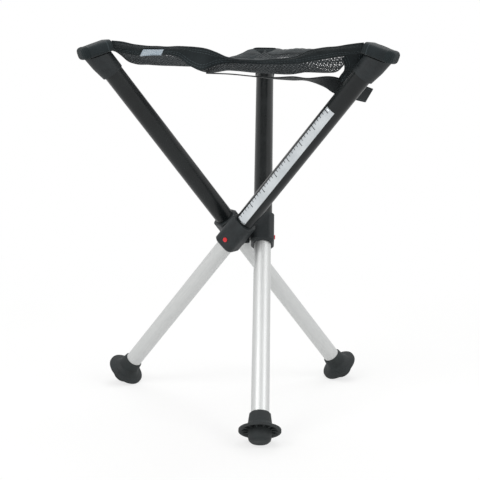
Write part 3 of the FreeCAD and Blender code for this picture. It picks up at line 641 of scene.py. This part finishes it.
def levelPoint(band, share):
    # the inner edge if the band lay level: along two corner seams, and straight between the mesh's corners
    first, second = band["ends"]
    seam = cornerShare(band)
    half = seat["seamGap"] / 2
    start = mouthPoint(first, -half, seat["meshCorner"])
    end = mouthPoint(second, half, seat["meshCorner"])
    atStart = mix(mouthPoint(first, -half, seat["seamIn"]), start, column(share / seam))
    atEnd = mix(mouthPoint(second, half, seat["seamIn"]), end, column((1 - share) / seam))
    between = mix(start, end, column((share - seam) / (1 - 2 * seam)))
    point = np.where(column(share) < seam, atStart, np.where(column(share) > 1 - seam, atEnd, between))
    return point - upwards * column(bandSize(band, "sag", share))


def innerPoint(band, share):
    # the level inner edge, let down by the band's hanging
    return levelPoint(band, share) + hang(band, share)


def bandNormal(band, share):
    # out of the band's under side
    return unit(np.cross(innerPoint(band, share) - rimPoint(band, share), sideAlong(band)))


def tongueOutwards(leg):
    # straight out along a leg's tongue
    return unit(onTongue(leg, 0, 1.0, 0) - onTongue(leg, 0, 0, 0))


def bandTop(band, share, tucked):
    # straight lines from rim to inner edge, crowned by a sine, with ripples that run along the band; past
    # either end the cloth goes on into the pocket, drawn in at its rim
    first, second = band["ends"]
    held = np.clip(share, 0, 1)
    rim, inner, down = rimPoint(band, held), innerPoint(band, held), bandNormal(band, held)
    entering = column(smooth(np.abs(share - held), 0, tucked * bandLook["enterShare"]))
    flush = column(smooth(np.minimum(held, 1 - held), bandLook["flushShare"], 0)) * (1 - entering)
    rim = rim - down * flush * clothOut + unit(inner - rim) * bandLook["rimIn"] * entering
    over = column(np.maximum(-share, 0) / tucked) * tongueOutwards(first) * bandLook["tucked"]
    over = over + column(np.maximum(share - 1, 0) / tucked) * tongueOutwards(second) * bandLook["tucked"]
    t = np.linspace(0, 1, bandLook["across"])[None, :, None]
    top = rim[:, None] * (1 - t) + inner[:, None] * t + over[:, None]
    calm, full = bandLook["calmShares"]
    middle = column(smooth(held, calm, full) * (1 - smooth(held, 1 - full, 1 - calm)))[:, None]
    ripple = bandLook["ripple"]
    for along, across in bandLook["waves"]:
        ripple = ripple * np.sin(held[:, None, None] * along + across * t)
    puff = (bandLook["crown"] * np.sin(math.pi * t) + ripple) * middle
    down = np.broadcast_to(down[:, None], top.shape)
    return top - down * puff, down


def makeBandHalf(side, band, leg):
    # from the pocket of one leg to the middle of the side
    tucked = bandLook["tucked"] / bandLength(band)
    share = np.linspace(-tucked, 0.5, bandLook["stations"])
    # stations also at the mesh's corner, at the pocket's mouth and twice where the band enters it
    entered = -tucked * bandLook["enterShare"]
    share = np.sort(np.concatenate([share, [0, cornerShare(band), entered / 2, entered]]))
    if leg == band["ends"][1]:
        share = 1 - share[::-1]
    top, down = bandTop(band, share, tucked)
    maps = stripMaps(top)["edges"][:, :bandLook["across"]]
    near = np.minimum(maps[..., 0], maps[..., 1])
    hem = 1 - smooth(near, bandLook["hemWidth"] - bandLook["hemStep"], bandLook["hemWidth"])
    inPocket = smooth(np.abs(share - np.clip(share, 0, 1)), 0, tucked * bandLook["enterShare"])
    hem = hem * (1 - inPocket)[:, None] * bandLook["hem"] * bandLook["hemEachSide"]
    piece = stripPiece(f"seat_band_{side}_{leg}", top, down, np.full(near.shape, bandLook["thick"]) + hem,
                       packCloth, hem)
    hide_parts(f"seat_band_{side}")
    bendToLeg(piece, leg)


def bendToLeg(piece, leg):
    # the piece stays as it is made: its place is baked into its mesh, and it does not bend with the leg.
    # The middle of the leg's pocket mouth is worked out, but nothing uses it.
    mouth = mouthPoint(leg, 0)
    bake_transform(piece)


for side, band in bands.items():
    for leg in band["ends"]:
        makeBandHalf(side, band, leg)


print("mesh")
meshLook = {"pitch": 4.4 * mm, "hole": 1.72 * mm, "thick": 0.7 * mm, "margin": 3 * mm, "sinkOver": 3 * mm,
            "keptShare": 0.4, "tipShare": 0.9995, "steepShare": 0.93, "blunt": 0.0001}
# tipShare and blunt keep the sums finite at the rear corner and on an edge, and past steepShare the mesh
# takes on the right band's own drop. A cell has six corners and six middles between them.
cellPoints = 12


def meshShare(band, share):
    # the share of the band at a share of the mesh's edge, which runs between the corner seams
    seam = cornerShare(band)
    return mix(seam, 1 - seam, share)


def meshEdge(band, share):
    # the band's level inner edge, without its corner seams
    return levelPoint(band, meshShare(band, share))


def bowl(across, up):
    # depth as a share: steep from the edges to a flat bottom, and deeper towards the right
    middle = 1 - (1 - 4 * across * (1 - across)) ** seat["steepness"]
    low = seat["lowShare"]
    before = 1 - (1 - np.minimum(up / low, 1)) ** seat["steepness"]
    after = 1 - ((up - low) / (1 - low)) ** 2
    return middle * np.where(up < low, before, after) * (1 + seat["leanShare"] * (2 * across - 1))


def meshPoint(across, up):
    # a patch between three edges, what the bands' hanging does to it, and the bowl
    front, left, right = bands["front"], bands["left"], bands["right"]
    a, u = column(across), column(up)
    ends = np.array([0.0, 1.0])
    apex = mix(meshEdge(left, ends[:1])[0], meshEdge(right, ends[1:])[0], a)
    between = mix(meshEdge(front, across), apex, u) + mix(meshEdge(left, 1 - up), meshEdge(right, up), a)
    flat = mix(mix(meshEdge(front, ends[:1])[0], meshEdge(front, ends[1:])[0], a), apex, u)
    return between - flat + meshHang(across, up) - upwards * column(seat["belly"] * bowl(across, up))


def meshHang(across, up):
    # all of a band's hanging at its own edge; between them a mean weighted by (near / (1 - near)) squared,
    # which fades with the distance from the nearest edge to a share of itself
    near = np.stack([1 - up, 1 - across, across])
    weights = (near / (1 + meshLook["blunt"] - near)) ** 2
    rightShare = meshShare(bands["right"], up)
    steep = hang(bands["right"], rightShare, "meshDrop", "meshTuck")
    hangs = [hang(bands["front"], meshShare(bands["front"], across)),
             hang(bands["left"], meshShare(bands["left"], 1 - up)),
             mix(steep, hang(bands["right"], rightShare), column(smooth(across, meshLook["steepShare"], 1)))]
    total = sum(column(weight) * one for weight, one in zip(weights, hangs))
    kept = mix(seat["hangKept"], 1.0, near.max(axis=0) ** seat["hangFade"])
    return total * column(kept / weights.sum(axis=0))


def cellNet(side):
    # hexagons on a triangle of a given side: points round each cell, shared with its neighbours, and as many
    # round its hole. Shared points are found by their place in a fine grid that they all lie on.
    pitch = meshLook["pitch"]
    rowStep = pitch * math.sqrt(3) / 2
    tall = side * math.sqrt(3) / 2
    # a few cells past the triangle on each side
    rows = np.arange(-2, int(tall / rowStep) + 3)
    columns = np.arange(-3, int(side / pitch) + 4)
    row, col = np.meshgrid(rows, columns, indexing="ij")
    centres = np.stack([(col + 0.5 * (row % 2)) * pitch, row * rowStep], axis=-1).reshape(-1, 2)
    reached = -(meshLook["margin"] + pitch * meshLook["keptShare"]) / tall
    centres = centres[triangleShares(centres, side).min(axis=1) > reached]
    turns = np.arange(cellPoints)
    angles = 2 * math.pi * turns / cellPoints
    reach = np.where(turns % 2, pitch / math.sqrt(3), pitch / 2)
    spokes = np.stack([np.cos(angles), np.sin(angles)], axis=-1)
    outer = centres[:, None] + spokes * reach[:, None]
    holes = centres[:, None] + spokes * meshLook["hole"]
    keys = np.round(outer / np.array([pitch / 4, pitch * math.sqrt(3) / 12]))
    return centres, outer, holes, keys.astype(int)


def triangleShares(flat, side):
    # barycentric shares of the front left, front right and rear corners
    tall = side * math.sqrt(3) / 2
    rear = flat[..., 1] / tall
    right = flat[..., 0] / side - rear / 2
    return np.stack([1 - rear - right, right, rear], axis=-1)


def clothPoint(flat, side):
    # inside the triangle the mesh's own surface; past an edge straight on into the band, half way down it
    shares = triangleShares(flat, side)
    tall = side * math.sqrt(3) / 2
    past = np.minimum(np.maximum(-shares, 0) * tall, meshLook["margin"])
    inside = np.maximum(shares, 0)
    inside = inside / inside.sum(axis=-1, keepdims=True)
    up = np.clip(inside[..., 2], 0, meshLook["tipShare"])
    across = np.clip(inside[..., 1] / (1 - up), 0, 1)
    point = meshPoint(across, up)
    sink = np.zeros(point.shape)
    # the edge that faces each corner: right for the front left one, left for the front right one
    for corner, (facing, share) in enumerate([("right", up), ("left", 1 - up), ("front", across)]):
        band = bands[facing]
        where = meshShare(band, share)
        point = point + unit(rimPoint(band, where) - innerPoint(band, where)) * column(past[..., corner])
        close = 1 - smooth(inside[..., corner] * tall, 0, meshLook["sinkOver"])
        sink = np.maximum(sink, column(close))
        point = point + bandNormal(band, where) * column(close * bandLook["thick"] / 2)
    return point - upwards * meshLook["thick"] / 2 * (1 - sink)


def makeMesh():
    # one net cut into three parts, each nearest to its corner of the seat
    corners = [meshEdge(bands["front"], np.array([0.0]))[0], meshEdge(bands["front"], np.array([1.0]))[0]]
    side = float(np.linalg.norm(corners[1] - corners[0]))
    centres, outer, holes, keys = cellNet(side)
    nearest = triangleShares(centres, side).argmax(axis=1)
    for corner, leg in enumerate(("b", "a", "c")):
        part = nearest == corner
        cells = int(part.sum())
        shared, first, back = np.unique(keys[part].reshape(-1, 2), axis=0, return_index=True,
                                        return_inverse=True)
        back = back.reshape(cells, cellPoints)
        ownHoles = np.arange(back.size).reshape(back.shape) + len(shared)
        flat = np.concatenate([outer[part].reshape(-1, 2)[first], holes[part].reshape(-1, 2)])
        faces = np.stack([back, np.roll(back, -1, axis=1), np.roll(ownHoles, -1, axis=1), ownHoles], axis=-1)
        points = clothPoint(flat, side)
        maps = {"weave": flat, "edges": np.full(flat.shape, noEdge)}
        piece = makePiece(f"seat_mesh_{leg}", points, faces.reshape(-1, 4), maps, airMesh)
        thicken(piece, meshLook["thick"], 0)
        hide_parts("seat_mesh")
        # a third is half an edge wide, and as long as from a corner to the centre
        bendToLeg(piece, leg)
        print(f"  mesh {leg}: {cells} cells")


makeMesh()


print("tag and strap")
tag = {"start": 0.136, "end": 0.218, "top": 0.42, "bottom": 0.98, "thick": 0.5 * mm, "lift": 1.15 * mm,
       "steps": (24, 14)}


def makeTag():
    # a small piece of the front band's outside, lifted off it
    band = bands["front"]
    share = np.linspace(tag["start"], tag["end"], tag["steps"][0])
    top, down = bandTop(band, share, 1.0)
    t = np.linspace(tag["top"], tag["bottom"], tag["steps"][1])
    own = np.linspace(0, 1, bandLook["across"])
    cut = np.stack([[np.interp(t, own, row[:, k]) for k in range(3)] for row in top]).transpose(0, 2, 1)
    down = down[:, :len(t)]
    outside = cut + down * (bandLook["thick"] + bandLook["hem"] / 2 + tag["lift"] / 2)
    piece = stripPiece("seat_tag_cloth", outside[::-1], down[::-1], tag["thick"], labelCloth)
    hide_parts("seat_tag")
    bendToLeg(piece, "b")


# the strap's middle line through its places in the stool, and its width's turn from level there
strap = {"thick": 1.4 * mm, "width": 17.5 * mm, "across": 9, "steps": 14, "path": [
    ((-44.5, -80, 410.9), 0), ((-18, -77, 410.3), 0), ((6, -75, 408.4), 0), ((33, -74, 406.5), 4),
    ((54, -74, 406.5), 12), ((72, -74, 405.5), 8), ((94, -75, 403), 45), ((108, -74, 398), 80),
    ((126, -70, 393), 80), ((144, -60, 388), 60)]}


def smoothLine(knots, steps):
    # a cubic through its knots: the tangent at a knot is half the chord between its neighbours
    knots = np.asarray(knots, float)
    padded = np.concatenate([[2 * knots[0] - knots[1]], knots, [2 * knots[-1] - knots[-2]]])
    slope = (padded[2:] - padded[:-2]) / 2
    t = np.linspace(0, 1, steps, endpoint=False)[:, None]
    runs = [(2 * t ** 3 - 3 * t ** 2 + 1) * knots[i] + (t ** 3 - 2 * t ** 2 + t) * slope[i]
            + (3 * t ** 2 - 2 * t ** 3) * knots[i + 1] + (t ** 3 - t ** 2) * slope[i + 1]
            for i in range(len(knots) - 1)]
    return np.concatenate(runs + [knots[-1:]])


def makeStrap():
    # webbing carried along its line, its width turned about the line from level
    line = smoothLine([place for place, turned in strap["path"]], strap["steps"]) * mm
    turned = np.radians(smoothLine([[degrees] for place, degrees in strap["path"]], strap["steps"])[:, 0])
    along = unit(np.gradient(line, axis=0))
    level = unit(np.cross(upwards, along))
    lifted = np.cross(along, level)
    across = level * column(np.cos(turned)) - lifted * column(np.sin(turned))
    down = unit(np.cross(across, along))
    t = np.linspace(-0.5, 0.5, strap["across"])[None, :, None]
    top = line[:, None] + across[:, None] * t * strap["width"] - down[:, None] * strap["thick"] / 2
    downs = np.broadcast_to(down[:, None], top.shape)
    piece = stripPiece("strap_webbing", top, downs, strap["thick"], webbing)
    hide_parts("under_strap")
    bendToLeg(piece, "a")


# the corner web hangs from the front band beside the right leg down to the strap: its left and right sides
web = {"thick": 1.2 * mm, "steps": 8, "across": 13, "ripple": 1.2 * mm,
       "left": [(108.1, -99, 430.5), (111.5, -94, 423.4), (112.2, -88, 416.8),
                (109.1, -80, 411.2), (105, -76, 403.7)],
       "right": [(132.2, -101, 438.9), (132.4, -98, 429.7), (126.9, -92, 421.4),
                 (120.6, -84, 413.6), (115.1, -77, 402.7)]}


def makeWeb():
    # straight lines between two smooth sides, with two shallow waves that run down the cloth
    left, right = [smoothLine(web[side], web["steps"]) * mm for side in ("left", "right")]
    t = np.linspace(0, 1, web["across"])[None, :, None]
    top = mix(left[:, None], right[:, None], t)
    down = np.broadcast_to(np.array([0, 1.0, 0]), top.shape)
    top = top + down * web["ripple"] * np.sin(t * 2 * math.pi)
    piece = stripPiece("corner_web", top, down, web["thick"], packCloth)
    bendToLeg(piece, "a")


makeTag()
makeStrap()
makeWeb()


print("leg label")
film = {"leg": "a", "start": 25 * mm, "end": 205 * mm, "width": 12.5 * mm, "radius": 11.75 * mm,
        "lift": 0.06 * mm, "thick": 0.12 * mm, "steps": (25, 60)}


def makeLegLabel():
    # a patch of a cylinder round the upper tube, on the side that faces away from the hub
    half = film["width"] / 2 / film["radius"]
    around = np.linspace(-half, half, film["steps"][0])[None, :]
    along = np.linspace(film["start"], film["end"], film["steps"][1])[:, None]
    radius = film["radius"] + film["lift"] + film["thick"]
    x, y, z = np.broadcast_arrays(radius * np.cos(around), radius * np.sin(around), along)
    top = onLeg(film["leg"], np.stack([x, y, z], axis=-1))
    axis = onLeg(film["leg"], np.stack([x * 0, y * 0, z], axis=-1))
    piece = stripPiece("leg_film_label", top, unit(axis - top), film["thick"], filmLabel)
    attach(piece, f"leg_{film['leg']}_upper")


makeLegLabel()


print("studio")
studio = {"floor": ("#f1f1f0", "#f5f5f4"), "backdrop": "#ffffff", "light": 0.62, "reach": 9, "sides": 96,
          "fade": (0.25, 1.1), "white": 0.72, "roughness": 0.9}
# each soft box: its place, the place that it faces, its width and its power
lamps = {"soft_box_left": ((-1.6, -1.4, 2.0), (0, 0, 0.25), 1.4, 26),
         "soft_box_right": ((1.8, -0.9, 1.7), (0, 0, 0.25), 1.2, 14),
         "soft_box_top": ((0.2, 0.9, 2.4), (0, 0, 0.3), 1.6, 18)}


def seenOrReflected(tree):
    # 1 for what the camera, a mirror or glass sees, 0 for the light that falls on things
    path = node(tree, "LightPath")
    seen = node(tree, "Math", {0: path.outputs["Is Camera Ray"], 1: path.outputs["Is Glossy Ray"]},
                operation="MAXIMUM")
    return node(tree, "Math", {0: seen, 1: path.outputs["Is Transmission Ray"]}, operation="MAXIMUM")


def makeFloor():
    # a wide plain disc under the feet: pale paint that takes the shadow, and the backdrop's white as well,
    # more of it with the distance from the stool, so that the floor runs out into the backdrop
    turns = np.linspace(0, 2 * math.pi, studio["sides"], endpoint=False)
    points = np.stack([np.cos(turns), np.sin(turns), turns * 0], axis=-1) * studio["reach"]
    material, tree, place = newMaterial("paintedStudioFloor")
    cloud = node(tree, "TexNoise", {"Vector": place, "Scale": 3.0, "Detail": 2.0})
    tone = node(tree, "ValToRGB", {"Fac": cloud}, zip(noiseSpan, studio["floor"]))
    paintwork = node(tree, "BsdfPrincipled", {"Base Color": tone, "Roughness": studio["roughness"]})
    white = node(tree, "Emission", {"Color": colour(studio["backdrop"])})
    far = node(tree, "VectorMath", {0: place}, operation="LENGTH").outputs["Value"]
    near, clear = studio["fade"]
    share = node(tree, "MapRange", {"Value": far, "From Min": near, "From Max": clear,
                                    "To Min": studio["white"]}, interpolation_type="SMOOTHSTEP")
    share = node(tree, "Math", {0: share, 1: seenOrReflected(tree)}, operation="MULTIPLY")
    both = node(tree, "MixShader", {0: share, 1: paintwork, 2: white})
    node(tree, "OutputMaterial", {"Surface": both})
    floor = makePiece("studio_floor", points, np.zeros((0, 4), int), {}, material,
                      [np.arange(studio["sides"])])


def makeWorld():
    # white where the camera, a mirror or glass sees it, and a plain grey light for everything else
    world = bpy.data.worlds.new("studio")
    world.use_nodes = True
    tree = world.node_tree
    tree.nodes.clear()
    seen = seenOrReflected(tree)
    strength = node(tree, "MapRange", {"Value": seen, "To Min": studio["light"]})
    light = node(tree, "Background", {"Color": colour(studio["backdrop"]), "Strength": strength})
    node(tree, "OutputWorld", {"Surface": light})
    bpy.context.scene.world = world


def makeLamp(name, place, target, size, power):
    # a soft box that faces the stool
    data = bpy.data.lights.new(name, "AREA")
    data.shape = "DISK"
    data.size = size
    data.energy = power
    lamp = addObject(name, data)
    lamp.rotation_euler = (Vector(target) - Vector(place)).to_track_quat("-Z", "Y").to_euler()
    lamp.location = place


makeFloor()
makeWorld()
for name, (place, target, size, power) in lamps.items():
    makeLamp(name, place, target, size, power)
bpy.context.scene.view_settings.view_transform = "Standard"

bpy.context.view_layer.update()
